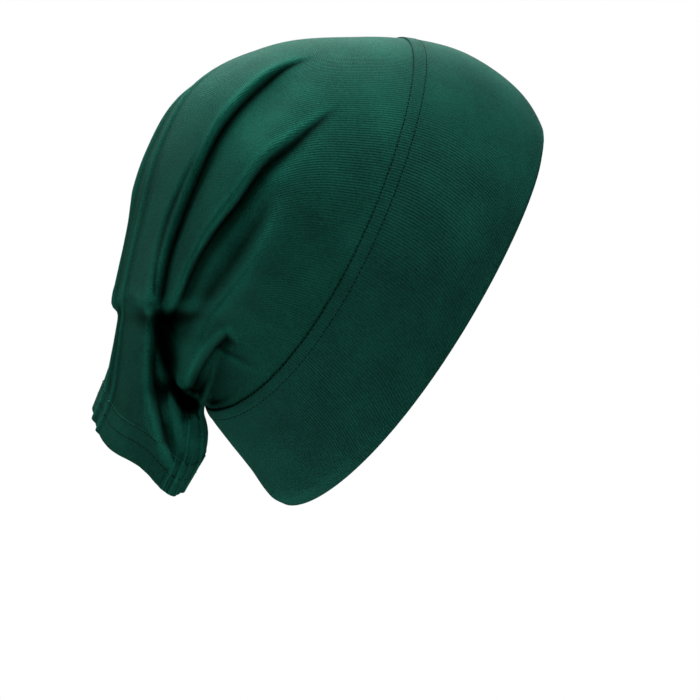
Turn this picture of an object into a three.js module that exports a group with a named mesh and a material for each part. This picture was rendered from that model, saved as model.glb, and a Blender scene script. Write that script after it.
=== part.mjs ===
// A hijab underscarf cap in cotton jersey, in the shape it takes on a head: a folded band round
// the face and the nape, and a knitted tube that is sewn to it, passes over the crown and hangs
// behind the nape, where it ends in a turned hem with elastic.
// Millimetres. +Z is up and the face looks along -Y, so +X is the wearer's left. The origin is
// where the top of the head bears on the inside of the crown.
import * as THREE from "three";

// Driving dimensions.
const HEAD_LENGTH = 190; // forehead to the back of the head
const HEAD_WIDTH = 152; // over the ears
const CAP_HEIGHT = 232; // crown to the lower edge at the nape
const CLOTH_LENGTH = 345; // front edge to hem, over the middle of the crown
const BAND_WIDTH = 82; // front edge to seam, over the forehead
const SEAM_WIDTH = 8; // between the two rows of stitches
const HEM_WIDTH = 17; // turned hem round the open end
const BAND_THICKNESS = 2.2; // jersey folded double
const SEAM_THICKNESS = 2.8; // band and crown lapped
const CROWN_THICKNESS = 1.2; // one layer of jersey
const HEM_THICKNESS = 2.0; // two layers and the elastic
const PIECE_GAP = 0.5; // between neighbouring pieces, along the cloth
const FOLD_DEPTH = 10; // what the depths of the folds are shares of
const FOLD_WIDTH = 20; // what the widths of the folds are shares of
const SIDE_REACH = 25; // from the middle to where the folds of a side have their full depth
const GATHER_HEIGHT = 0.9; // of the gathers in the hem
const GATHER_COUNT = 26; // round the hem

// The cloth as a row of rings from the front edge to the hem. Each ring stands on two points of
// the middle plane: top, over the crown, and under, at the nape. Along is a share of
// CLOTH_LENGTH, back of HEAD_LENGTH and up of CAP_HEIGHT. The other lengths are shares of
// HEAD_WIDTH: half (the half width), skew (how far the right side hangs below the left), swing
// (how far it stands in front of the left) and bow (how far the lower sides bow to the front).
// Egg widens a ring towards its top, and square fills out its corners.
const RING_COLUMNS = [
  "along", "topBack", "topUp", "underBack", "underUp", "half", "egg", "square", "skew", "swing", "bow",
];
const RINGS = [
  [0.0, -0.44, -0.215, 0.24, -0.995, 0.44, -0.1, 2, 0, 0, 0.04],
  [0.02, -0.445, -0.175, 0.275, -0.98, 0.45, -0.1, 2, 0, 0, 0.05],
  [0.09, -0.372, -0.097, 0.33, -0.92, 0.475, -0.08, 2, 0, 0, 0.07],
  [0.17, -0.235, -0.03, 0.39, -0.86, 0.49, -0.04, 2, 0, 0, 0.08],
  [0.238, -0.1, -0.004, 0.437, -0.81, 0.495, -0.03, 2, 0, 0, 0.09],
  [0.32, 0.05, 0.0, 0.452, -0.782, 0.5, 0.02, 2, 0, 0, 0.08],
  [0.44, 0.28, -0.02, 0.461, -0.757, 0.5, 0.08, 2, 0, 0, 0.04],
  [0.55, 0.465, -0.1, 0.47, -0.74, 0.49, 0.14, 2, 0, 0, 0],
  [0.65, 0.565, -0.235, 0.48, -0.737, 0.45, 0.25, 2, 0.01, 0, 0],
  [0.755, 0.62, -0.4, 0.488, -0.75, 0.38, 0.3, 2.2, 0.03, 0, 0],
  [0.855, 0.67, -0.575, 0.487, -0.775, 0.33, 0.2, 2.2, 0.07, -0.03, 0],
  [0.945, 0.7, -0.76, 0.487, -0.81, 0.31, 0.1, 2.2, 0.12, -0.01, 0],
  [1.0, 0.745, -0.85, 0.54, -0.865, 0.28, 0, 2, 0.145, 0, 0],
].map((row) => Object.fromEntries(RING_COLUMNS.map((name, i) => [name, row[i]])));

// The folds that run into the bend beside the nape, in a view of each side from 20 degrees
// behind. Line is a fold's step in that view, as shares back of HEAD_LENGTH and up of
// CAP_HEIGHT. The cloth rises towards the step by rise and drops beyond it by drop, both shares
// of FOLD_DEPTH. Above and below, how far the rise and the drop reach, and step, half the
// step's own width, are shares of FOLD_WIDTH. Starts and ends are the shares of the line over
// which the fold grows and from which it dies out.
const SIDE_VIEW = THREE.MathUtils.degToRad(20);
const FOLDS = [
  {
    // from the top of the crown into the hollow
    line: [[0.142, -0.048], [0.305, -0.118], [0.441, -0.285], [0.519, -0.45], [0.553, -0.6]],
    rise: 0.4, drop: 0.9, above: 0.9, below: 0.7, step: 0.25, starts: 0.2, ends: 0.8,
  },
  {
    // from the side of the crown into the hollow
    line: [[0.09, -0.15], [0.284, -0.277], [0.409, -0.41], [0.498, -0.562], [0.545, -0.61]],
    rise: 0.4, drop: 0.9, above: 0.8, below: 0.6, step: 0.25, starts: 0.3, ends: 0.8,
  },
  {
    // the soft ridge that ends in a roll over the hollow
    line: [[0.237, -0.32], [0.307, -0.487], [0.431, -0.63], [0.478, -0.68], [0.5, -0.75]],
    rise: 0.6, drop: -0.6, above: 0.4, below: 0.5, step: 0.25, starts: 0.35, ends: 0.8,
  },
  {
    // the dent before the roll
    line: [[0.385, -0.61], [0.425, -0.65], [0.465, -0.7], [0.477, -0.74]],
    rise: 0.1, drop: 0.4, above: 0.4, below: 0.4, step: 0.25, starts: 0.35, ends: 0.8,
  },
  {
    // the shallow valley down the back
    line: [[0.427, -0.226], [0.503, -0.347], [0.542, -0.448], [0.56, -0.564]],
    rise: 0.1, drop: 0.35, above: 0.5, below: 0.6, step: 0.25, starts: 0.35, ends: 0.8,
  },
  {
    // the edge of the hanging end
    line: [[0.545, -0.54], [0.553, -0.645], [0.559, -0.743], [0.521, -0.848], [0.482, -0.891]],
    rise: 0.1, drop: 0.8, above: 0.4, below: 0.6, step: 0.3, starts: 0.1, ends: 0.7,
  },
  {
    // the hollow between the crown and the hanging end
    line: [[0.54, -0.58], [0.545, -0.643], [0.506, -0.731], [0.495, -0.775], [0.485, -0.834]],
    rise: 0, drop: 1.6, above: 0.4, below: 0.55, step: 0.3, starts: 0.15, ends: 0.6,
  },
];
const LEFT_STRENGTH = 0.8; // of the same folds on the left side
const FOLDS_FROM = [0.3, 0.38]; // shares of CLOTH_LENGTH between which the folds set in

// Narrow pleats down the back, each at one turn of the ring, in degrees. Height is a share of
// FOLD_DEPTH and width of FOLD_WIDTH.
const PLEATS = [
  { turn: -4, height: 0.16, width: 0.2 },
  { turn: -17, height: 0.2, width: 0.22 },
  { turn: -36, height: 0.12, width: 0.4 },
];
const PLEATS_FROM = [0.4, 0.6]; // shares of CLOTH_LENGTH between which they set in

// One column of the ring table at a place along the cloth, on a smooth curve through the rows.
function ringValue(column, along) {
  const last = RINGS.length - 2;
  let i = 0;
  while (i < last && RINGS[i + 1].along < along) i += 1;
  const slope = (k) => {
    const before = RINGS[Math.max(k - 1, 0)];
    const after = RINGS[Math.min(k + 1, RINGS.length - 1)];
    return (after[column] - before[column]) / (after.along - before.along);
  };
  const [a, b] = [RINGS[i], RINGS[i + 1]];
  const span = b.along - a.along;
  const s = (along - a.along) / span;
  const [s2, s3] = [s * s, s * s * s];
  return (
    (2 * s3 - 3 * s2 + 1) * a[column] +
    (s3 - 2 * s2 + s) * span * slope(i) +
    (3 * s2 - 2 * s3) * b[column] +
    (s3 - s2) * span * slope(i + 1)
  );
}

// A point of the cloth without its folds. Turn is the angle round the ring: 0 over the crown, a
// quarter turn on the right side, half a turn at the nape.
function smoothPoint(turn, along) {
  const value = (column) => ringValue(column, along);
  const top = new THREE.Vector2(value("topBack") * HEAD_LENGTH, value("topUp") * CAP_HEIGHT);
  const under = new THREE.Vector2(value("underBack") * HEAD_LENGTH, value("underUp") * CAP_HEIGHT);
  const n = value("square");
  const fill = Math.pow(Math.abs(Math.cos(turn)) ** n + Math.abs(Math.sin(turn)) ** n, -1 / n);
  const [c, s] = [Math.cos(turn) * fill, Math.sin(turn) * fill];
  const middle = top.clone().add(under).multiplyScalar(0.5);
  const reach = top.clone().sub(middle).multiplyScalar(c);
  const front = new THREE.Vector2(under.y - top.y, top.x - under.x).normalize();
  const bow = value("bow") * HEAD_WIDTH * (Math.hypot(s, 0.2) - 0.2) * (1 - c) * 0.5;
  return new THREE.Vector3(
    -value("half") * HEAD_WIDTH * s * (1 + value("egg") * c),
    middle.x + reach.x + front.x * bow - value("swing") * HEAD_WIDTH * s,
    middle.y + reach.y + front.y * bow - value("skew") * HEAD_WIDTH * s + CROWN_THICKNESS / 2,
  );
}

// The outward normal of a surface given as a function of turn and along.
function normalOf(surface, turn, along) {
  const [du, dv] = [0.004, 0.002];
  const [a0, a1] = [Math.max(along - dv, 0), Math.min(along + dv, 1)];
  const round = surface(turn + du, along).sub(surface(turn - du, along));
  const down = surface(turn, a1).sub(surface(turn, a0));
  return down.cross(round).normalize();
}

const bell = (x) => Math.exp(-x * x);
const smooth = THREE.MathUtils.smoothstep;

// The step of each fold as a fine line in its view.
const LINE_PIECES = 32;
const STEPS = FOLDS.map((fold) =>
  new THREE.SplineCurve(
    fold.line.map(([back, up]) => new THREE.Vector2(back * HEAD_LENGTH, up * CAP_HEIGHT)),
  ).getPoints(LINE_PIECES),
);

// How far a point lies below a line, and the share of the line there.
function besideLine(line, point) {
  let best = { distance: Infinity };
  for (let i = 0; i + 1 < line.length; i += 1) {
    const piece = line[i + 1].clone().sub(line[i]);
    const from = point.clone().sub(line[i]);
    const s = THREE.MathUtils.clamp(from.dot(piece) / piece.lengthSq(), 0, 1);
    const gap = from.clone().addScaledVector(piece, -s);
    if (gap.length() < Math.abs(best.distance)) {
      const below = Math.sign(gap.x * piece.y - gap.y * piece.x);
      best = { distance: gap.length() * below, share: (i + s) / LINE_PIECES };
    }
  }
  return best;
}

// The middle plane of the cloth, with its folds, pleats and gathers.
function clothPoint(turn, along) {
  const base = smoothPoint(turn, along);
  const normal = normalOf(smoothPoint, turn, along);
  const seenFrom = new THREE.Vector3(
    Math.tanh(base.x / SIDE_REACH) * Math.cos(SIDE_VIEW),
    Math.sin(SIDE_VIEW),
    0,
  );
  const apart = Math.hypot(base.x, 0.4 * SIDE_REACH);
  const view = new THREE.Vector2(
    base.y * Math.cos(SIDE_VIEW) - apart * Math.sin(SIDE_VIEW),
    base.z,
  );
  const facing = smooth(normal.dot(seenFrom), 0, 0.35) * smooth(along, ...FOLDS_FROM);
  let out = 0;
  FOLDS.forEach((fold, i) => {
    const { distance, share } = besideLine(STEPS[i], view);
    const strength = smooth(share, 0, fold.starts) * (1 - smooth(share, fold.ends, 1));
    const x = distance / FOLD_WIDTH;
    const passed = smooth(x, -fold.step, fold.step);
    const rise = (1 - passed) * fold.rise * bell(x / fold.above);
    out += strength * (rise - passed * fold.drop * bell(x / fold.below));
  });
  const side = base.x < 0 ? 1 : LEFT_STRENGTH;
  const moved = base.clone().addScaledVector(seenFrom, FOLD_DEPTH * side * facing * out);
  const degrees = THREE.MathUtils.radToDeg(Math.atan2(Math.sin(turn), Math.cos(turn)));
  const hanging = smooth(along, ...PLEATS_FROM);
  for (const pleat of PLEATS) {
    const across = THREE.MathUtils.degToRad(degrees - pleat.turn) * HEAD_WIDTH * 0.45;
    moved.addScaledVector(
      normal,
      hanging * FOLD_DEPTH * pleat.height * bell(across / (pleat.width * FOLD_WIDTH)),
    );
  }
  const hem = smooth(along, 1 - (1.8 * HEM_WIDTH) / CLOTH_LENGTH, 1);
  const drawn = 0.5 - 0.5 * Math.cos(turn + 0.6);
  const pace = smoothPoint(turn + 0.01, along).distanceTo(smoothPoint(turn - 0.01, along)) / 0.02;
  const height = GATHER_HEIGHT * Math.min((1.4 * pace) / HEAD_WIDTH, 1);
  moved.addScaledVector(normal, height * hem * drawn * Math.cos(GATHER_COUNT * turn));
  return moved;
}

// The place along the cloth that lies a distance in millimetres beyond another, at any turn.
// Where the bend bunches the cloth, it lies at most a share BUNCHED away.
const BUNCHED = 0.085;
function beside(along, distance) {
  const d = 0.004;
  return (turn) => {
    const [a0, a1] = [Math.max(along - d, 0), Math.min(along + d, 1)];
    const pace = smoothPoint(turn, a1).distanceTo(smoothPoint(turn, a0)) / (a1 - a0);
    return along + Math.max(distance / pace, -BUNCHED);
  };
}

// A closed sleeve of cloth between two places along it.
function sleeve(name, from, to, thickness, around, steps) {
  const sheet = (half) =>
    Array.from({ length: steps + 1 }, (_, j) =>
      Array.from({ length: around }, (_, i) => {
        const turn = (i / around) * 2 * Math.PI;
        const along = THREE.MathUtils.lerp(from(turn), to(turn), j / steps);
        return clothPoint(turn, along).addScaledVector(normalOf(clothPoint, turn, along), half);
      }),
    );
  const loop = [...sheet(thickness / 2), ...sheet(-thickness / 2).reverse()];
  const faces = loop.flatMap((_, j) => {
    const next = (j + 1) % loop.length;
    return Array.from({ length: around }, (_, i) => {
      const k = (i + 1) % around;
      const [a, b, c, d] = [j * around + i, j * around + k, next * around + k, next * around + i];
      return [a, d, b, b, d, c];
    }).flat();
  });
  const geometry = new THREE.BufferGeometry().setFromPoints(loop.flat());
  geometry.setIndex(faces);
  const mesh = new THREE.Mesh(geometry, new THREE.MeshStandardMaterial({ color: 0x12564a }));
  mesh.name = name;
  return mesh;
}

const seam = BAND_WIDTH / CLOTH_LENGTH;
const hem = (shift) => (turn) => {
  const start = beside(1, -HEM_WIDTH)(turn);
  return beside(start, shift)(turn);
};
const gap = PIECE_GAP / 2;

const cap = new THREE.Group();
cap.add(
  sleeve("front_band", () => 0, beside(seam, -gap), BAND_THICKNESS, 60, 5),
  sleeve("seam_lap", beside(seam, gap), beside(seam, SEAM_WIDTH - gap), SEAM_THICKNESS, 60, 1),
  sleeve("crown_tube", beside(seam, SEAM_WIDTH + gap), hem(-gap), CROWN_THICKNESS, 104, 20),
  sleeve("back_hem", hem(gap), () => 1, HEM_THICKNESS, 104, 2),
);

export default cap;
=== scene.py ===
"""A hijab underscarf cap in dark green cotton jersey, in the shape it has when it is worn.

Metres. +Z is up and the opening for the face looks along -Y. The origin is on the inside of the
crown, at its top.
"""

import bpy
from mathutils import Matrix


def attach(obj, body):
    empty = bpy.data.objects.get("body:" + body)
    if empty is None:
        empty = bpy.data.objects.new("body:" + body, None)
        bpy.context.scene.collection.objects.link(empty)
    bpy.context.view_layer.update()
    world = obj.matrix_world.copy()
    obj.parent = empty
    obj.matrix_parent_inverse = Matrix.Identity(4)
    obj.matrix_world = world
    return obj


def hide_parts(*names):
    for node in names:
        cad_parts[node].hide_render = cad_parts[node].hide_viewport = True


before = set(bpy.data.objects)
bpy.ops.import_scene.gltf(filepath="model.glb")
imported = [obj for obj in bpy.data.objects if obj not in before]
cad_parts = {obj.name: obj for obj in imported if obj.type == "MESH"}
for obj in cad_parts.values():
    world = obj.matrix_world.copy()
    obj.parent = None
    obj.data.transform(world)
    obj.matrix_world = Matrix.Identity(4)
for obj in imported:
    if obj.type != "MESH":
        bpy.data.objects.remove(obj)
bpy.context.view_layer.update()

import logging
import math
from dataclasses import dataclass
from enum import Enum
from typing import Callable

import bmesh
import bpy
import numpy as np
from mathutils import Matrix, Vector

LOG = logging.getLogger("underscarf_cap")
MM = 0.001
BAND_WIDTH = 82 * MM
SEAM_WIDTH = 8 * MM
HEM_WIDTH = 17 * MM
CROWN_LENGTH = 237 * MM
CROWN_THICKNESS = 1.2 * MM
# How far the band and the crown reach in under the seam, and the crown under the hem.
LAP = 2.0 * MM
# The small steps that slopes of the surface are measured over: radians and shares of the length.
NEAR_TURN = 0.004
NEAR_ALONG = 0.002
Array = np.ndarray
Surface = Callable[[Array, Array], Array]


def smooth(value: Array, low: float, high: float) -> Array:
    """A smooth step from 0 at low to 1 at high."""
    share = np.clip((value - low) / (high - low), 0.0, 1.0)
    return share * share * (3.0 - 2.0 * share)


def bell(value: Array) -> Array:
    """A bell of height 1 and half width 1."""
    return np.exp(-value * value)


def unit(vectors: Array) -> Array:
    """Vectors of the same directions, 1 long."""
    return vectors / np.maximum(np.linalg.norm(vectors, axis=-1, keepdims=True), 1e-12)


def from_crown(turn: Array) -> Array:
    """A turn round the ring in degrees, from -180 to 180, with 0 over the crown."""
    return np.degrees(np.arctan2(np.sin(turn), np.cos(turn)))


def spline(points: Array, pieces: int) -> Array:
    """A smooth line through points in a plane.

    Args:
        points: the points.
        pieces: how many straight pieces the line has.

    Returns:
        One point more than pieces.
    """
    padded = np.vstack([points[:1], points, points[-1:]])
    place = np.linspace(0, len(points) - 1, pieces + 1)
    i = np.minimum(place.astype(int), len(points) - 2)
    t = (place - i)[:, None]
    p0, p1, p2, p3 = padded[i], padded[i + 1], padded[i + 2], padded[i + 3]
    v0, v1 = (p2 - p0) / 2, (p3 - p1) / 2
    return (
        (2 * p1 - 2 * p2 + v0 + v1) * t**3
        + (-3 * p1 + 3 * p2 - 2 * v0 - v1) * t**2
        + v0 * t
        + p1
    )


def linear(colour: str) -> tuple[float, float, float, float]:
    """The linear colour of an sRGB hex value.

    Args:
        colour: six hex digits, such as "14564a".

    Returns:
        Red, green, blue and alpha for a shader's socket.
    """
    parts = [int(colour[i : i + 2], 16) / 255.0 for i in (0, 2, 4)]
    shades = [c / 12.92 if c <= 0.04045 else ((c + 0.055) / 1.055) ** 2.4 for c in parts]
    return (shades[0], shades[1], shades[2], 1.0)


def add_node(tree: bpy.types.NodeTree, kind: str, **inputs: object) -> bpy.types.Node:
    """Adds a shader node.

    Args:
        tree: the material's nodes.
        kind: the node's type, after ShaderNode; for a math node, "Math:" and its operation.
        inputs: values or other nodes' sockets, by the input's name, or i0, i1 by its number.

    Returns:
        The node.
    """
    name, _, operation = kind.partition(":")
    node = tree.nodes.new("ShaderNode" + name)
    if operation:
        node.operation = operation
    for key, value in inputs.items():
        numbered = key[0] == "i" and key[1:].isdigit()
        socket = node.inputs[int(key[1:]) if numbered else key.replace("_", " ")]
        if isinstance(value, bpy.types.NodeSocket):
            tree.links.new(value, socket)
        else:
            socket.default_value = value
    return node


def link_object(mesh: bmesh.types.BMesh, name: str) -> bpy.types.Object:
    """Puts a finished mesh into the scene.

    Args:
        mesh: the mesh, which is freed.
        name: the object's name.

    Returns:
        The object, at the origin.
    """
    data = bpy.data.meshes.new(name)
    mesh.to_mesh(data)
    mesh.free()
    made = bpy.data.objects.new(name, data)
    bpy.context.scene.collection.objects.link(made)
    return made


@dataclass(frozen=True)
class Ring:
    """One ring of the cloth, on two points of the middle plane: over the crown and at the nape.

    Along is a share of the cloth's length, back of the hollow's length, and up of the cap's
    height. The rest are shares of the hollow's width. Egg widens the ring towards its top, square
    fills out its corners, skew hangs the right side lower, swing stands it forward, and bow bows
    the lower sides to the front.
    """

    along: float
    top_back: float
    top_up: float
    under_back: float
    under_up: float
    half: float
    egg: float = 0.0
    square: float = 2.0
    skew: float = 0.0
    swing: float = 0.0
    bow: float = 0.0


# From the edge round the face over the crown to the open end of the hanging tube.
RINGS = (
    Ring(0.0, -0.44, -0.215, 0.24, -0.995, 0.44, -0.1, bow=0.04),
    Ring(0.02, -0.445, -0.175, 0.275, -0.98, 0.45, -0.1, bow=0.05),
    Ring(0.09, -0.372, -0.097, 0.33, -0.92, 0.475, -0.08, bow=0.07),
    Ring(0.17, -0.235, -0.03, 0.39, -0.86, 0.49, -0.04, bow=0.08),
    Ring(0.238, -0.1, -0.004, 0.437, -0.81, 0.495, -0.03, bow=0.09),
    Ring(0.32, 0.05, 0.0, 0.452, -0.782, 0.5, 0.02, bow=0.08),
    Ring(0.44, 0.28, -0.02, 0.461, -0.757, 0.5, 0.08, bow=0.04),
    Ring(0.55, 0.465, -0.1, 0.47, -0.74, 0.49, 0.14),
    Ring(0.65, 0.565, -0.235, 0.48, -0.737, 0.45, 0.25, skew=0.01),
    Ring(0.755, 0.62, -0.4, 0.488, -0.75, 0.38, 0.3, 2.2, skew=0.03),
    Ring(0.855, 0.67, -0.575, 0.487, -0.775, 0.33, 0.2, 2.2, skew=0.07, swing=-0.03),
    Ring(0.945, 0.7, -0.76, 0.487, -0.81, 0.31, 0.1, 2.2, skew=0.12, swing=-0.01),
    Ring(1.0, 0.745, -0.85, 0.54, -0.865, 0.28, 0.0, 2.0, skew=0.145, swing=0.0),
)


@dataclass(frozen=True)
class Fold:
    """A fold of the cloth beside the nape, seen from 20 degrees behind the side.

    Line is the step of the fold in that view, as shares back of the hollow's length and up of the
    cap's height. The cloth rises towards it from above and drops beyond it. Rise and drop are
    shares of the fold depth; above, below and step are shares of the fold width: how far the rise
    and the drop reach, and how long the step between them is. Ends are the shares of the line over
    which the fold grows and dies out. Left is its strength on the left side.
    """

    line: tuple[tuple[float, float], ...]
    rise: float
    drop: float
    above: float
    below: float
    step: float = 0.08
    ends: tuple[float, float] = (0.35, 0.9)
    left: float = 0.8


FOLDS = (
    # The long upper fold, from the crown to the pinch.
    Fold(((0.142, -0.048), (0.235, -0.075), (0.305, -0.118), (0.386, -0.195), (0.441, -0.285),
          (0.482, -0.365), (0.519, -0.45), (0.54, -0.531), (0.553, -0.6)),
         rise=0.4, drop=1.0, above=0.9, below=0.7, ends=(0.25, 0.92)),
    # The fold below it, which starts farther forward.
    Fold(((0.09, -0.15), (0.206, -0.226), (0.284, -0.277), (0.345, -0.348), (0.405, -0.41),
          (0.454, -0.476), (0.498, -0.555), (0.545, -0.6)),
         rise=0.5, drop=1.0, above=0.8, below=0.32, ends=(0.3, 0.98)),
    # The long middle ridge that runs down to the small rolled end.
    Fold(((0.234, -0.324), (0.26, -0.398), (0.314, -0.485), (0.367, -0.545), (0.421, -0.599),
          (0.454, -0.653), (0.48, -0.702), (0.491, -0.73)),
         rise=0.95, drop=-0.95, above=0.24, below=0.28, ends=(0.35, 0.98)),
    # The hollow above that ridge.
    Fold(((0.245, -0.3), (0.295, -0.39), (0.35, -0.465), (0.405, -0.53), (0.45, -0.59),
          (0.487, -0.65)),
         rise=-0.45, drop=0.45, above=0.4, below=0.3, step=0.2, ends=(0.4, 0.85)),
    # The short crease under the rolled end.
    Fold(((0.37, -0.612), (0.385, -0.624), (0.415, -0.648), (0.445, -0.684), (0.466, -0.719),
          (0.48, -0.742)),
         rise=0.3, drop=1.1, above=0.22, below=0.24, step=0.1, ends=(0.2, 0.95)),
    # A shallow hollow in front of it.
    Fold(((0.308, -0.51), (0.327, -0.599), (0.368, -0.669)),
         rise=-0.2, drop=0.2, above=0.5, below=0.5),
    # The soft fall of the cloth down the back.
    Fold(((0.427, -0.226), (0.503, -0.347), (0.542, -0.448), (0.56, -0.564)),
         rise=0.1, drop=0.4, above=0.5, below=0.6),
    # The rounded edge of the hanging tube, over the dark tuck.
    Fold(((0.552, -0.47), (0.558, -0.54), (0.562, -0.591), (0.564, -0.645), (0.567, -0.699),
          (0.566, -0.743), (0.553, -0.788), (0.53, -0.848), (0.495, -0.905)),
         rise=0.2, drop=1.3, above=0.5, below=0.5, ends=(0.35, 0.8)),
    # The dark tuck beside the nape.
    Fold(((0.558, -0.56), (0.556, -0.62), (0.548, -0.66), (0.534, -0.7), (0.516, -0.743),
          (0.498, -0.795), (0.487, -0.855)),
         rise=-0.5, drop=2.6, above=0.4, below=0.85, step=0.1, ends=(0.1, 0.7)),
    # The lip at the tuck's lower end.
    Fold(((0.44, -0.78), (0.459, -0.759), (0.484, -0.747), (0.5, -0.732), (0.508, -0.71)),
         rise=0.25, drop=1.9, above=0.2, below=0.45, ends=(0.15, 0.75)),
)


@dataclass(frozen=True)
class Pleat:
    """A narrow pleat along the cloth, at one turn of the ring in degrees.

    Height is a share of the fold depth and width of the fold width. The pleat begins at start and
    is at its full height after grow, both shares of the cloth's length.
    """

    turn: float
    height: float
    width: float
    start: float = 0.4
    grow: float = 0.2


# Three pleats down the back, then the gathers at the hem's right side.
PLEATS = (
    Pleat(-8.0, 0.14, 0.1),
    Pleat(-22.0, 0.18, 0.14),
    Pleat(-36.0, 0.12, 0.4),
    Pleat(81.0, 0.06, 0.05, 0.9, 0.08),
    Pleat(92.0, 0.13, 0.07, 0.86, 0.06),
    Pleat(103.0, 0.07, 0.05, 0.9, 0.06),
    Pleat(116.0, 0.15, 0.09, 0.84, 0.08),
    Pleat(131.0, 0.08, 0.06, 0.88, 0.06),
)


@dataclass(frozen=True)
class Trim:
    """Where the hem was cut shorter, or left longer if negative, in metres at a turn in degrees."""

    turn: float
    width: float
    shorter: float


TRIMS = (Trim(50.0, 32.0, 6.0 * MM), Trim(104.0, 10.0, -1.0 * MM))


@dataclass(frozen=True)
class CapForm:
    """The middle surface of the cap's cloth, by turn round the ring and place along the cloth.

    Ring length and ring radius are shares of the hollow's width. Side soft and middle soft are how
    gently the folds' direction and place change over at the middle plane, and facing is how far
    the cloth has to face the side before its folds are full. Gathers reach over so many widths of
    the hem. They are deepest on the right, by gather turn short of the nape, and flatter where the
    ring turns tightly. Bunched is the most that a line is set forward, as a share of the length.
    """

    hollow_length: float = 190 * MM
    hollow_width: float = 152 * MM
    cap_height: float = 232 * MM
    cloth_length: float = 345 * MM
    ring_length: float = 3.1
    ring_radius: float = 0.45
    bow_soft: float = 0.2
    fold_depth: float = 10 * MM
    fold_width: float = 20 * MM
    folds_from: float = 0.3
    folds_grow: float = 0.08
    line_pieces: int = 32
    side_turn: float = math.radians(20.0)
    side_soft: float = 25 * MM
    middle_soft: float = 10 * MM
    facing: float = 0.35
    gather_height: float = 0.9 * MM
    gather_count: int = 26
    gather_reach: float = 1.8
    gather_turn: float = 0.6
    gather_slack: float = 1.4
    bunched: float = 0.085
    rings: tuple[Ring, ...] = RINGS
    folds: tuple[Fold, ...] = FOLDS
    pleats: tuple[Pleat, ...] = PLEATS
    trims: tuple[Trim, ...] = TRIMS

    def value(self, name: str, along: Array) -> Array:
        """One value of the rings at places along the cloth, on a smooth curve through them.

        Args:
            name: the ring's field.
            along: shares of the cloth's length.

        Returns:
            The value at each place.
        """
        at = np.array([ring.along for ring in self.rings])
        knots = np.array([getattr(ring, name) for ring in self.rings])
        slope = np.gradient(knots)
        slope[1:-1] = (knots[2:] - knots[:-2]) / (at[2:] - at[:-2])
        slope[0] = (knots[1] - knots[0]) / (at[1] - at[0])
        slope[-1] = (knots[-1] - knots[-2]) / (at[-1] - at[-2])
        i = np.clip(np.searchsorted(at, along, side="right") - 1, 0, len(at) - 2)
        span = at[i + 1] - at[i]
        s = (along - at[i]) / span
        s2, s3 = s * s, s * s * s
        return (
            (2 * s3 - 3 * s2 + 1) * knots[i]
            + (s3 - 2 * s2 + s) * span * slope[i]
            + (3 * s2 - 2 * s3) * knots[i + 1]
            + (s3 - s2) * span * slope[i + 1]
        )

    def plain(self, turn: Array, along: Array) -> Array:
        """Points of the cloth without its folds.

        Args:
            turn: angles round the ring: 0 over the crown, a quarter turn on the right side.
            along: shares of the cloth's length.

        Returns:
            The points, with x, y and z last.
        """
        top_back = self.value("top_back", along) * self.hollow_length
        top_up = self.value("top_up", along) * self.cap_height
        under_back = self.value("under_back", along) * self.hollow_length
        under_up = self.value("under_up", along) * self.cap_height
        n = self.value("square", along)
        fill = (np.abs(np.cos(turn)) ** n + np.abs(np.sin(turn)) ** n) ** (-1 / n)
        c, s = np.cos(turn) * fill, np.sin(turn) * fill
        front_y, front_z = under_up - top_up, top_back - under_back
        size = np.hypot(front_y, front_z)
        sideways = np.hypot(s, self.bow_soft) - self.bow_soft
        bow = self.value("bow", along) * self.hollow_width * sideways * (1 - c) * 0.5
        width = self.hollow_width
        x = -self.value("half", along) * width * s * (1 + self.value("egg", along) * c)
        y = (top_back + under_back) / 2 + (top_back - under_back) / 2 * c + front_y / size * bow
        z = (top_up + under_up) / 2 + (top_up - under_up) / 2 * c + front_z / size * bow
        y = y - self.value("swing", along) * width * s
        z = z - self.value("skew", along) * width * s + CROWN_THICKNESS / 2
        return np.stack([x, y, z], axis=-1)

    def normals(self, surface: Surface, turn: Array, along: Array) -> Array:
        """The outward normals of a surface.

        Args:
            surface: a function of turn and along.
            turn: angles round the ring.
            along: shares of the cloth's length.

        Returns:
            Unit vectors, with x, y and z last.
        """
        before, after = np.maximum(along - NEAR_ALONG, 0.0), np.minimum(along + NEAR_ALONG, 1.0)
        across = surface(turn + NEAR_TURN, along) - surface(turn - NEAR_TURN, along)
        down = surface(turn, after) - surface(turn, before)
        return unit(np.cross(down, across))

    def across(self, fold: Fold, side: Array) -> tuple[Array, Array]:
        """Where points of the side view lie beside a fold's crease.

        Args:
            fold: the fold.
            side: points, with back and up last, in metres.

        Returns:
            The distance below the step, and the share of the line.
        """
        scale = np.array([self.hollow_length, self.cap_height])
        line = spline(np.array(fold.line) * scale, self.line_pieces)
        best = np.full(side.shape[:-1], np.inf)
        distance, share = np.zeros_like(best), np.zeros_like(best)
        for i, (start, end) in enumerate(zip(line[:-1], line[1:])):
            step = end - start
            s = np.clip(((side - start) @ step) / (step @ step), 0.0, 1.0)
            gap = side - start - s[..., None] * step
            size = np.linalg.norm(gap, axis=-1)
            way = np.array([step[1], -step[0]]) / np.linalg.norm(step)
            near = size < best
            best = np.where(near, size, best)
            distance = np.where(near, size * np.sign(gap @ way), distance)
            share = np.where(near, (i + s) / self.line_pieces, share)
        return distance, share

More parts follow.
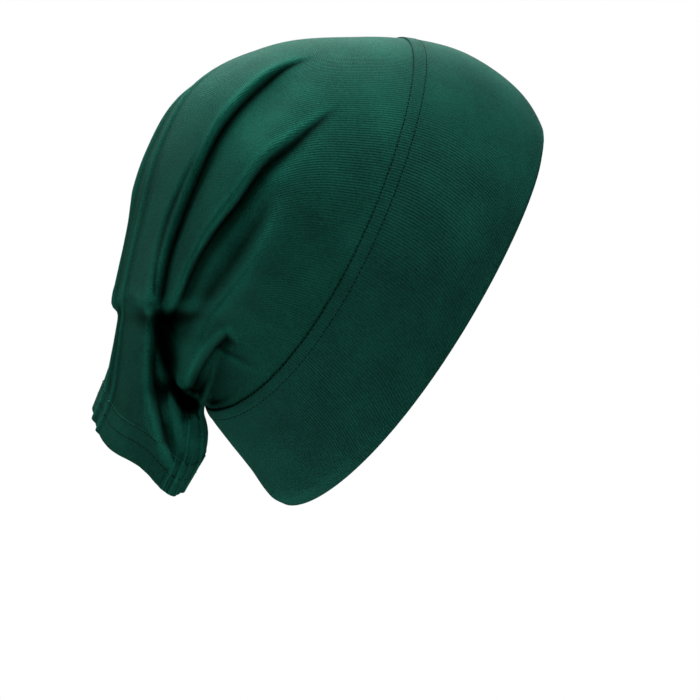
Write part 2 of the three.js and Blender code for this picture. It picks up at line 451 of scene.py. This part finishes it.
    def folded(self, base: Array, normal: Array, along: Array) -> Array:
        """How the folds beside the nape move the cloth.

        Args:
            base: points of the cloth without its folds.
            normal: the outward normals there.
            along: shares of the cloth's length.

        Returns:
            The moves, with x, y and z last.
        """
        x = base[..., 0]
        aside, behind = math.cos(self.side_turn), math.sin(self.side_turn)
        seen = np.stack([np.tanh(x / self.side_soft) * aside, np.full_like(x, behind), 0 * x], axis=-1)
        back = base[..., 1] * aside - np.hypot(x, self.middle_soft) * behind
        side = np.stack([back, base[..., 2]], axis=-1)
        facing = smooth((normal * seen).sum(-1), 0.0, self.facing)
        opened = smooth(along, self.folds_from, self.folds_from + self.folds_grow)
        out = np.zeros(base.shape[:-1])
        for fold in self.folds:
            distance, share = self.across(fold, side)
            strength = np.where(x < 0, 1.0, fold.left) * facing * opened
            strength = strength * smooth(share, 0.0, fold.ends[0]) * (1 - smooth(share, fold.ends[1], 1.0))
            off = distance / self.fold_width
            passed = smooth(off, -fold.step, fold.step)
            rise = (1 - passed) * fold.rise * bell(off / fold.above)
            drop = passed * fold.drop * bell(off / fold.below)
            out += strength * (rise - drop)
        return seen * (self.fold_depth * out)[..., None]

    def rippled(self, turn: Array, along: Array) -> Array:
        """How high the pleats and the hem's gathers stand on the cloth.

        Args:
            turn: angles round the ring.
            along: shares of the cloth's length.

        Returns:
            The height at each point.
        """
        height = np.zeros(turn.shape)
        for pleat in self.pleats:
            hanging = smooth(along, pleat.start, pleat.start + pleat.grow)
            off = np.radians(from_crown(turn) - pleat.turn) * self.hollow_width * self.ring_radius
            ridge = pleat.height * bell(off / (pleat.width * self.fold_width))
            height = height + hanging * self.fold_depth * ridge
        hem = smooth(along, 1 - self.gather_reach * HEM_WIDTH / self.cloth_length, 1.0)
        drawn = 0.5 - 0.5 * np.cos(turn + self.gather_turn)
        step = self.plain(turn + NEAR_TURN, along) - self.plain(turn - NEAR_TURN, along)
        pace = np.linalg.norm(step, axis=-1) / (2 * NEAR_TURN)
        room = np.minimum(self.gather_slack * pace / self.hollow_width, 1.0)
        return height + self.gather_height * room * hem * drawn * np.cos(self.gather_count * turn)

    def draped(self, turn: Array, along: Array) -> Array:
        """Points of the cloth with its folds, pleats and gathers.

        Args:
            turn: angles round the ring.
            along: shares of the cloth's length.

        Returns:
            The points, with x, y and z last.
        """
        base = self.plain(turn, along)
        normal = self.normals(self.plain, turn, along)
        ripples = normal * self.rippled(turn, along)[..., None]
        return base + self.folded(base, normal, along) + ripples

    def beside(self, along: Array, distance: float, turn: Array) -> Array:
        """Places along the cloth that lie a distance beyond others.

        Args:
            along: shares of the cloth's length.
            distance: metres towards the hem, or, if negative, towards the front.
            turn: angles round the ring.

        Returns:
            Shares of the cloth's length.
        """
        reach = 2 * NEAR_ALONG
        before, after = np.maximum(along - reach, 0.0), np.minimum(along + reach, 1.0)
        step = self.plain(turn, after) - self.plain(turn, before)
        pace = np.linalg.norm(step, axis=-1) / (after - before)
        return along + np.maximum(distance / pace, -self.bunched)

    def seam(self, turn: Array, shift: float) -> Array:
        """A line at a distance behind the front row of stitches."""
        return self.beside(np.full_like(turn, BAND_WIDTH / self.cloth_length), shift, turn)

    def hem(self, turn: Array, shift: float) -> Array:
        """A line at a distance behind the hem's upper border."""
        return self.beside(self.beside(self.back_edge(turn), -HEM_WIDTH, turn), shift, turn)

    def back_edge(self, turn: Array) -> Array:
        """The cloth's edge behind the nape.

        Args:
            turn: angles round the ring.

        Returns:
            Shares of the cloth's length, less where the hem was cut shorter.
        """
        edge = np.ones_like(turn)
        for trim in self.trims:
            shorter = trim.shorter / self.cloth_length
            edge -= shorter * bell((from_crown(turn) - trim.turn) / trim.width)
        return edge


@dataclass(frozen=True)
class Sleeve:
    """A closed sleeve of cloth with rounded edges, between two lines along the cap's cloth.

    It has so many columns around and steps along, and round_steps in each rounded edge. Blur
    steps and full ridge say how wide a ridge is, and how high one must be to get the full painted
    highlight.
    """

    name: str
    node: str
    slot: str
    width: float
    thickness: float
    around: int
    steps: int
    round_steps: int = 4
    blur_steps: int = 8
    full_ridge: float = 0.6 * MM

    def start(self, form: CapForm, turn: Array) -> Array:
        """The front border, in shares of the cloth's length."""
        raise NotImplementedError

    def end(self, form: CapForm, turn: Array) -> Array:
        """The rear border, in shares of the cloth's length."""
        raise NotImplementedError

    def section(self) -> tuple[Array, Array]:
        """The outer half of the cloth's section.

        Returns:
            The share of the width and the share of half the thickness at each point.
        """
        inset = 0.5 * self.thickness / self.width
        turn = np.linspace(0, math.pi / 2, self.round_steps + 1)[:-1]
        flat = np.linspace(inset, 1 - inset, self.steps + 1)
        front, height = inset * (1 - np.cos(turn)), np.sin(turn)
        share = np.concatenate([front, flat, 1 - front[::-1]])
        return share, np.concatenate([height, np.ones_like(flat), height[::-1]])

    # Painted light: this value gives the ridges a painted highlight and the creases painted shade.
    def painted_fold_shading(self, middle: Array, normal: Array) -> Array:
        """How far the cloth stands out of its surroundings: 1 on a ridge, -1 in a crease.

        Args:
            middle: the middle surface's points, round the ring and along the cloth.
            normal: the outward normals there.

        Returns:
            The value at each point.
        """
        blurred = middle[:-1]
        for _ in range(self.blur_steps):
            blurred = (np.roll(blurred, 1, 0) + 2 * blurred + np.roll(blurred, -1, 0)) / 4
            padded = np.concatenate([blurred[:, :1], blurred, blurred[:, -1:]], axis=1)
            blurred = (padded[:, :-2] + 2 * blurred + padded[:, 2:]) / 4
        blurred = np.concatenate([blurred, blurred[:1]])
        out = ((middle - blurred) * normal).sum(-1)
        return np.clip(out / self.full_ridge, -1.0, 1.0)

    def mesh(self, form: CapForm) -> bmesh.types.BMesh:
        """Shapes the sleeve from a grid that is wrapped round the cap and closed on itself.

        Args:
            form: the cap's middle surface.

        Returns:
            The mesh, with its cloth's sizes in metres as a UV map and its ridges as an attribute, which
            sets the painted highlight on ridges and the painted shade in creases.
        """
        share, height = self.section()
        rows = len(share) - 1
        turn, across = np.meshgrid(np.linspace(0, 2 * math.pi, self.around + 1), share, indexing="ij")
        first, last = self.start(form, turn), self.end(form, turn)
        middle = form.draped(turn, first + (last - first) * across)
        round_way = np.roll(middle[:-1], -1, axis=0) - np.roll(middle[:-1], 1, axis=0)
        round_way = np.concatenate([round_way, round_way[:1]])
        normal = unit(np.cross(np.gradient(middle, axis=1), round_way))
        lift = normal * (height * self.thickness / 2)[None, :, None]
        # Painted highlight on ridges and painted shade in creases, stored with the mesh.
        painted_fold_shading = self.painted_fold_shading(middle, normal)
        mesh = bmesh.new()
        layer = mesh.loops.layers.uv.new("cloth")
        painted_fold_shading_layer = mesh.verts.layers.float.new("painted_fold_shading")
        bmesh.ops.create_grid(mesh, x_segments=self.around, y_segments=2 * rows, size=0.5)
        place = np.array([v.co[:2] for v in mesh.verts]) + 0.5
        i = np.rint(place[:, 0] * self.around).astype(int)
        k = np.rint(place[:, 1] * 2 * rows).astype(int)
        j = np.where(k <= rows, k, 2 * rows - k)
        points = middle[i, j] + np.where(k <= rows, 1.0, -1.0)[:, None] * lift[i, j]
        round_size = place[:, 0] * form.ring_length * form.hollow_width
        sizes = np.stack([round_size, share[j] * self.width], axis=-1)
        for vert, point, height_here in zip(mesh.verts, points, painted_fold_shading[i, j]):
            vert.co = point
            vert[painted_fold_shading_layer] = height_here
        mesh.verts.index_update()
        for face in mesh.faces:
            face.smooth = True
            for loop in face.loops:
                loop[layer].uv = sizes[loop.vert.index]
        bmesh.ops.remove_doubles(mesh, verts=mesh.verts, dist=1e-6)
        bmesh.ops.recalc_face_normals(mesh, faces=mesh.faces)
        return mesh

    def build(self, form: CapForm, finish: bpy.types.Material) -> bpy.types.Object:
        """Makes the sleeve and dresses it.

        Args:
            form: the cap's middle surface.
            finish: the cloth's material.

        Returns:
            The object, in the place of its solid.
        """
        piece = link_object(self.mesh(form), self.name)
        piece.data.materials.append(finish)
        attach(piece, "root")
        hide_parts(self.node)
        return piece


@dataclass(frozen=True)
class FrontBand(Sleeve):
    """The wide band round the face and the nape: jersey folded double, with a soft front edge.

    Its flat width is measured over the forehead. It lies smooth, so its flat area is the worn one.
    """

    name: str = "band_jersey_folded"
    node: str = "front_band"
    slot: str = "band_jersey"
    width: float = BAND_WIDTH
    thickness: float = 2.2 * MM
    around: int = 480
    steps: int = 60
    round_steps: int = 8
    flat_width: float = 0.082
    flat_area: float = 0.0414

    def start(self, form: CapForm, turn: Array) -> Array:
        """The folded edge round the face."""
        return np.zeros_like(turn)

    def end(self, form: CapForm, turn: Array) -> Array:
        """The edge that lies under the seam."""
        return form.seam(turn, LAP)

    def declare(self, piece: bpy.types.Object) -> None:
        """Does nothing: it would say what size the band was cut to."""


@dataclass(frozen=True)
class SeamLap(Sleeve):
    """The strip between the seam's two rows of stitches, where the band is sewn to the crown."""

    name: str = "seam_lap_jersey"
    node: str = "seam_lap"
    slot: str = "band_jersey"
    width: float = SEAM_WIDTH
    thickness: float = 2.8 * MM
    around: int = 480
    steps: int = 12
    round_steps: int = 6

    def start(self, form: CapForm, turn: Array) -> Array:
        """The front row of stitches."""
        return form.seam(turn, 0.0)

    def end(self, form: CapForm, turn: Array) -> Array:
        """The rear row of stitches."""
        return form.seam(turn, self.width)


@dataclass(frozen=True)
class CrownTube(Sleeve):
    """The crown: one layer of jersey, sewn in a tube that hangs down behind.

    Its flat length is the tube's between the seam and the hem. Its flat area is that of the form
    without its folds, and 5% more for them.
    """

    name: str = "crown_tube_jersey"
    node: str = "crown_tube"
    slot: str = "crown_jersey"
    width: float = CROWN_LENGTH
    thickness: float = CROWN_THICKNESS
    around: int = 320
    steps: int = 144
    flat_length: float = 0.237
    flat_area: float = 0.062

    def start(self, form: CapForm, turn: Array) -> Array:
        """The edge that lies under the seam."""
        return form.seam(turn, SEAM_WIDTH - LAP)

    def end(self, form: CapForm, turn: Array) -> Array:
        """The edge that lies under the hem."""
        return form.hem(turn, LAP)

    def declare(self, piece: bpy.types.Object, sewn_on: list[bpy.types.Object]) -> None:
        """Does nothing: it would say what size the crown was cut to.

        Args:
            piece: the crown; not used.
            sewn_on: the pieces that are sewn to it; not used.
        """


@dataclass(frozen=True)
class BackHem(Sleeve):
    """The turned hem of the tube's open end."""

    name: str = "back_hem_jersey"
    node: str = "back_hem"
    slot: str = "crown_jersey"
    width: float = HEM_WIDTH
    thickness: float = 2.0 * MM
    around: int = 480
    steps: int = 16
    round_steps: int = 6

    def start(self, form: CapForm, turn: Array) -> Array:
        """The hem's upper border."""
        return form.hem(turn, 0.0)

    def end(self, form: CapForm, turn: Array) -> Array:
        """The turned edge."""
        return form.back_edge(turn)


class Line(Enum):
    """The lines of the cloth that rows of stitches follow."""

    SEAM = "seam"
    HEM = "hem"


class Mark(Enum):
    """What each stitch leaves to see, with the ending of its piece's name."""

    THREAD = ""
    # The holes are dark dashes of painted shade where the needle drew the knit in.
    HOLE_SHADE = "_hole_shade"


@dataclass(frozen=True)
class StitchRow:
    """A row of lock stitches on the outside of the cloth.

    Shift is how far it lies behind its line, and lift how high above the cloth's middle. Hole has
    half the length, width and height of a needle hole's dash of painted shade. The row is
    measured at so many samples.
    """

    name: str
    line: Line
    shift: float
    lift: float
    pitch: float = 2.5 * MM
    length: float = 1.8 * MM
    radius: float = 0.2 * MM
    hole: tuple[float, float, float] = (0.6 * MM, 0.34 * MM, 0.14 * MM)
    look_ahead: float = 0.2 * MM
    samples: int = 2401
    slot: str = "crown_jersey"

    def along(self, form: CapForm, turn: Array) -> Array:
        """The row's places along the cloth."""
        return form.seam(turn, self.shift) if self.line is Line.SEAM else form.hem(turn, self.shift)

    def bead(self, mark: Mark) -> bpy.types.Mesh:
        """One stitch, or a needle hole's dash of painted shade, at the origin and along X.

        Args:
            mark: which of the two.

        Returns:
            A mesh of a few dozen faces.
        """
        size = self.hole if mark is Mark.HOLE_SHADE else (self.length / 2, self.radius, self.radius)
        small = bmesh.new()
        bmesh.ops.create_uvsphere(small, u_segments=6, v_segments=4, radius=1.0)
        bmesh.ops.scale(small, vec=size, verts=small.verts)
        bead = bpy.data.meshes.new("stitch")
        small.to_mesh(bead)
        small.free()
        return bead

    def mesh(self, form: CapForm, mark: Mark) -> bmesh.types.BMesh:
        """Lays the row's stitches along the cloth, or the painted shade of the needle holes between them.

        Args:
            form: the cap's middle surface.
            mark: stitches, or holes drawn as painted shade.

        Returns:
            The mesh.
        """
        turn = np.linspace(0, 2 * math.pi, self.samples)
        line = self.along(form, turn)
        points = form.draped(turn, line)
        normal = form.normals(form.draped, turn, line)
        run = np.concatenate([[0.0], np.cumsum(np.linalg.norm(np.diff(points, axis=0), axis=1))])
        count = int(run[-1] / self.pitch)
        wanted = (np.arange(count) + (0.5 if mark is Mark.HOLE_SHADE else 0.0)) / count * run[-1]
        at = [np.interp(wanted, run, points[:, k]) for k in range(3)]
        up = [np.interp(wanted, run, normal[:, k]) for k in range(3)]
        ahead = [np.interp(wanted + self.look_ahead, run, points[:, k]) for k in range(3)]
        bead = self.bead(mark)
        mesh = bmesh.new()
        for place, out, next_place in zip(np.stack(at, 1), np.stack(up, 1), np.stack(ahead, 1)):
            along = Vector(next_place - place).normalized()
            side = Vector(out).cross(along).normalized()
            matrix = Matrix((along, side, along.cross(side))).transposed().to_4x4()
            matrix.translation = Vector(place + out * self.lift)
            bead.transform(matrix)
            mesh.from_mesh(bead)
            bead.transform(matrix.inverted())
        bpy.data.meshes.remove(bead)
        for face in mesh.faces:
            face.smooth = True
        return mesh

    def build(self, form: CapForm, mark: Mark, finish: bpy.types.Material) -> bpy.types.Object:
        """Makes the row's stitches, or the painted shade of its needle holes, and dresses them.

        Args:
            form: the cap's middle surface.
            mark: stitches, or holes drawn as painted shade.
            finish: their material.

        Returns:
            The object.
        """
        piece = link_object(self.mesh(form, mark), self.name + mark.value)
        piece.data.materials.append(finish)
        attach(piece, "root")
        return piece


STITCHING = (
    StitchRow("seam_stitches_front", Line.SEAM, 0.4 * MM, 1.15 * MM),
    StitchRow("seam_stitches_rear", Line.SEAM, SEAM_WIDTH - 0.4 * MM, 1.15 * MM),
    StitchRow("hem_stitches_upper", Line.HEM, 1.0 * MM, 0.95 * MM),
    StitchRow("hem_stitches_lower", Line.HEM, 8.0 * MM, 0.98 * MM),
)


@dataclass(frozen=True)
class Jersey:
    """The finish of knitted cotton jersey, with fine wales that run from the face to the hem.

    Fuzz and cloud are noises, in lumps to the metre: the loose fibre ends and the uneven dye.
    """

    name: str
    dark: str
    light: str
    # A real wale is about 0.6 mm wide and a course 0.5 mm high. A pixel of the render is 0.5 mm,
    # so both are drawn coarser, to show.
    wale: float = 1.05 * MM
    course: float = 0.85 * MM
    relief: float = 0.2 * MM
    bump: float = 0.6
    slant: float = 1.4
    course_share: float = 0.45
    fuzz: float = 1100.0
    fuzz_height: float = 2.2
    fuzz_shade: float = 1.5
    cloud: float = 38.0
    noise_detail: float = 3.0
    knit_shade: float = 0.16
    shades: tuple[float, float] = (0.7, 1.8)
    # Painted highlight on the ridges and painted shade in the creases: the colour follows the folds.
    painted_fold_contrast: float = 0.65
    roughness: float = 0.85
    specular: float = 0.15
    # The loose fibres catch light where the cloth turns away.
    sheen: float = 0.08
    sheen_roughness: float = 0.45
    sheen_tint: str = "4a9d84"

    def material(self) -> bpy.types.Material:
        """The jersey's material.

        Returns:
            A material that reads the UV map "cloth" and the attribute "raised".
        """
        made = bpy.data.materials.new(self.name)
        made.use_nodes = True
        tree = made.node_tree
        shader = tree.nodes["Principled BSDF"]
        places = add_node(tree, "UVMap")
        places.uv_map = "cloth"
        parts = add_node(tree, "SeparateXYZ", Vector=places.outputs["UV"])
        turn = 2 * math.pi
        wale = add_node(tree, "Math:MULTIPLY", i0=parts.outputs["X"], i1=turn / self.wale)
        rib = add_node(tree, "Math:SINE", i0=wale.outputs[0])
        course = add_node(tree, "Math:MULTIPLY", i0=parts.outputs["Y"], i1=turn / self.course)
        loop = add_node(tree, "Math:MULTIPLY_ADD", i0=rib.outputs[0], i1=self.slant,
                        i2=course.outputs[0])
        row = add_node(tree, "Math:SINE", i0=loop.outputs[0])
        knit = add_node(tree, "Math:MULTIPLY_ADD", i0=row.outputs[0], i1=self.course_share,
                        i2=rib.outputs[0])
        place = add_node(tree, "TexCoord")
        fuzz = add_node(tree, "TexNoise", Vector=place.outputs["Object"], Scale=self.fuzz,
                        Detail=self.noise_detail)
        cloud = add_node(tree, "TexNoise", Vector=place.outputs["Object"], Scale=self.cloud,
                         Detail=self.noise_detail)
        height = add_node(tree, "Math:MULTIPLY_ADD", i0=fuzz.outputs["Fac"], i1=self.fuzz_height,
                          i2=knit.outputs[0])
        bump = add_node(tree, "Bump", Strength=self.bump, Distance=self.relief,
                        Height=height.outputs[0])
        shade = add_node(tree, "Math:MULTIPLY_ADD", i0=knit.outputs[0], i1=self.knit_shade,
                         i2=cloud.outputs["Fac"])
        grain = add_node(tree, "Math:MULTIPLY_ADD", i0=fuzz.outputs["Fac"], i1=self.fuzz_shade,
                         i2=shade.outputs[0])
        share = add_node(tree, "MapRange", Value=grain.outputs[0], i1=self.shades[0], i2=self.shades[1])
        colour = add_node(tree, "MixRGB", Fac=share.outputs[0], Color1=linear(self.dark),
                          Color2=linear(self.light))
        # Painted light, not wear: ridges get a painted highlight and creases painted shade.
        painted_fold_shading = add_node(tree, "Attribute")
        painted_fold_shading.attribute_name = "painted_fold_shading"
        painted_fold_lightness = add_node(tree, "MapRange", Value=painted_fold_shading.outputs["Fac"], i1=-1.0, i2=1.0,
                             i3=1.0 - self.painted_fold_contrast, i4=1.0 + self.painted_fold_contrast)
        worn = add_node(tree, "HueSaturation", Value=painted_fold_lightness.outputs[0], Color=colour.outputs["Color"])
        tree.links.new(worn.outputs["Color"], shader.inputs["Base Color"])
        tree.links.new(bump.outputs["Normal"], shader.inputs["Normal"])
        shader.inputs["Roughness"].default_value = self.roughness
        shader.inputs["Specular IOR Level"].default_value = self.specular
        shader.inputs["Sheen Weight"].default_value = self.sheen
        shader.inputs["Sheen Roughness"].default_value = self.sheen_roughness
        shader.inputs["Sheen Tint"].default_value = linear(self.sheen_tint)
        return made


@dataclass(frozen=True)
class Thread:
    """The finish of sewing thread, or the painted shade of the hole where the needle went through."""

    name: str
    colour: str
    roughness: float = 0.6
    specular: float = 0.1
    # The twist of the plies is about 0.4 mm long, so there are 2500 to the metre.
    twist: float = 2500.0
    shade: float = 0.5

    def material(self) -> bpy.types.Material:
        """The thread's material, with the twist of its plies.

        Returns:
            A material that reads Object coordinates.
        """
        made = bpy.data.materials.new(self.name)
        made.use_nodes = True
        tree = made.node_tree
        shader = tree.nodes["Principled BSDF"]
        place = add_node(tree, "TexCoord")
        fibre = add_node(tree, "TexNoise", Vector=place.outputs["Object"], Scale=self.twist, Detail=1.0)
        light = linear(self.colour)
        dark = (light[0] * self.shade, light[1] * self.shade, light[2] * self.shade, 1.0)
        colour = add_node(tree, "MixRGB", Fac=fibre.outputs["Fac"], Color1=dark, Color2=light)
        tree.links.new(colour.outputs["Color"], shader.inputs["Base Color"])
        shader.inputs["Roughness"].default_value = self.roughness
        shader.inputs["Specular IOR Level"].default_value = self.specular
        return made


# Single jersey of combed cotton, circular knitted, dyed in the piece and worn double. It gives the
# eye a dull, even bottle green with fine ribs that run back from the face.
BAND_JERSEY = Jersey("band_jersey", "094238", "1b7060")
# The same jersey in one layer, a shade lighter in colour. It lies loose in folds, which stand
# out by the painted highlight on their ridges and the painted shade in their creases.
CROWN_JERSEY = Jersey("crown_jersey", "09463b", "1d7864")
# Spun polyester sewing thread, dyed to match: a thin line of beads that is smoother than the knit.
SEAM_THREAD = Thread("seam_thread", "1c5a45")
# Painted shade: the dimple between two stitches, where the needle drew the knit in, drawn as a short dark
# dash.
NEEDLE_HOLE_SHADE = Thread("needle_hole_painted_shade", "03110d", 0.9)


@dataclass(frozen=True)
class Lamp:
    """A large soft lamp: the way towards it from the cap, and its power in watts."""

    name: str
    way: tuple[float, float, float]
    power: float


@dataclass(frozen=True)
class Studio:
    """The camera, the light and the floor.

    Lit is the point that the lamps shine at, and fill the strength of the light from all round.
    """

    azimuth: float = -110.0
    elevation: float = 2.0
    distance: float = 1.4
    aim: tuple[float, float, float] = (4.4 * MM, 12.2 * MM, -154.5 * MM)
    lens: float = 144.0
    sensor: float = 36.0
    fill: float = 0.03
    lit: tuple[float, float, float] = (0.0, 30 * MM, -120 * MM)
    lamp_size: float = 1.0
    lamp_distance: float = 1.2
    lamps: tuple[Lamp, ...] = (
        Lamp("top_lamp", (-0.1, 0.0, 1.0), 11.0),
        Lamp("far_lamp", (0.7, -0.25, 0.7), 17.5),
        Lamp("front_lamp", (-0.8, -0.6, 0.3), 3.3),
        Lamp("back_lamp", (0.3, 0.9, 0.5), 2.0),
        Lamp("low_lamp", (-0.1, 0.3, -1.0), 6.5),
    )
    floor_height: float = -1.6
    floor_reach: float = 4.0
    floor_glow: float = 0.85
    floor_colour: str = "f4f4f2"
    floor_light: str = "f8f8f6"

    def build(self) -> None:
        """Makes the camera, the lamps, the surroundings and the floor."""
        self.camera()
        self.light()
        self.surroundings()
        self.floor()

    def camera(self) -> None:
        """Makes the camera and sets it as the scene's."""
        a, e = math.radians(self.azimuth), math.radians(self.elevation)
        way = Vector((math.sin(a) * math.cos(e), -math.cos(a) * math.cos(e), math.sin(e)))
        camera = bpy.data.objects.new("camera", bpy.data.cameras.new("camera"))
        camera.data.lens = self.lens
        camera.data.sensor_width = self.sensor
        camera.location = Vector(self.aim) + way * self.distance
        camera.rotation_euler = way.to_track_quat("Z", "Y").to_euler()
        bpy.context.scene.collection.objects.link(camera)
        bpy.context.scene.camera = camera

    def light(self) -> None:
        """Makes the lamps, which the camera doesn't see."""
        for lamp in self.lamps:
            light = bpy.data.objects.new(lamp.name, bpy.data.lights.new(lamp.name, "AREA"))
            light.data.shape = "DISK"
            light.data.size = self.lamp_size
            light.data.energy = lamp.power
            toward = Vector(lamp.way).normalized()
            light.location = Vector(self.lit) + toward * self.lamp_distance
            light.rotation_euler = toward.to_track_quat("Z", "Y").to_euler()
            light.visible_camera = False
            bpy.context.scene.collection.objects.link(light)

    def surroundings(self) -> None:
        """Makes the surroundings: white behind the cap, and a weak light from all round."""
        world = bpy.data.worlds.new("surroundings")
        world.use_nodes = True
        tree = world.node_tree
        white = (1.0, 1.0, 1.0, 1.0)
        plain = tree.nodes["Background"]
        plain.inputs["Color"].default_value = white
        plain.inputs["Strength"].default_value = self.fill
        behind = add_node(tree, "Background", Color=white)
        path = add_node(tree, "LightPath")
        mix = add_node(tree, "MixShader", Fac=path.outputs["Is Camera Ray"],
                       i1=plain.outputs["Background"], i2=behind.outputs["Background"])
        tree.links.new(mix.outputs["Shader"], tree.nodes["World Output"].inputs["Surface"])
        bpy.context.scene.world = world
        bpy.context.scene.view_settings.view_transform = "Standard"

    def floor(self) -> None:
        """Makes the floor. It glows, because the lamps are close to the cap and far from it."""
        mesh = bmesh.new()
        bmesh.ops.create_grid(mesh, x_segments=1, y_segments=1, size=self.floor_reach)
        bmesh.ops.translate(mesh, vec=(0.0, 0.0, self.floor_height), verts=mesh.verts)
        floor = link_object(mesh, "floor")
        paint = bpy.data.materials.new("floor_paint")
        paint.use_nodes = True
        shader = paint.node_tree.nodes["Principled BSDF"]
        shader.inputs["Base Color"].default_value = linear(self.floor_colour)
        shader.inputs["Emission Color"].default_value = linear(self.floor_light)
        shader.inputs["Emission Strength"].default_value = self.floor_glow
        floor.data.materials.append(paint)
        floor.visible_diffuse = False
        floor.visible_glossy = False


def main() -> None:
    """Builds the cap's pieces in order, and then the studio round them."""
    logging.basicConfig(level=logging.INFO)
    form = CapForm()
    band_jersey, crown_jersey = BAND_JERSEY.material(), CROWN_JERSEY.material()
    finishes = {Mark.THREAD: SEAM_THREAD.material(), Mark.HOLE_SHADE: NEEDLE_HOLE_SHADE.material()}
    front_band, crown_tube = FrontBand(), CrownTube()
    band = front_band.build(form, band_jersey)
    lap = SeamLap().build(form, band_jersey)
    crown = crown_tube.build(form, crown_jersey)
    hem = BackHem().build(form, crown_jersey)
    sewn = [row.build(form, mark, finishes[mark]) for row in STITCHING for mark in Mark]
    for piece in (band, lap, crown, hem, *sewn):
        LOG.info("%s: %d faces", piece.name, len(piece.data.polygons))
    front_band.declare(band)
    crown_tube.declare(crown, [lap, hem, *sewn])
    Studio().build()


if __name__ == "__main__":
    main()
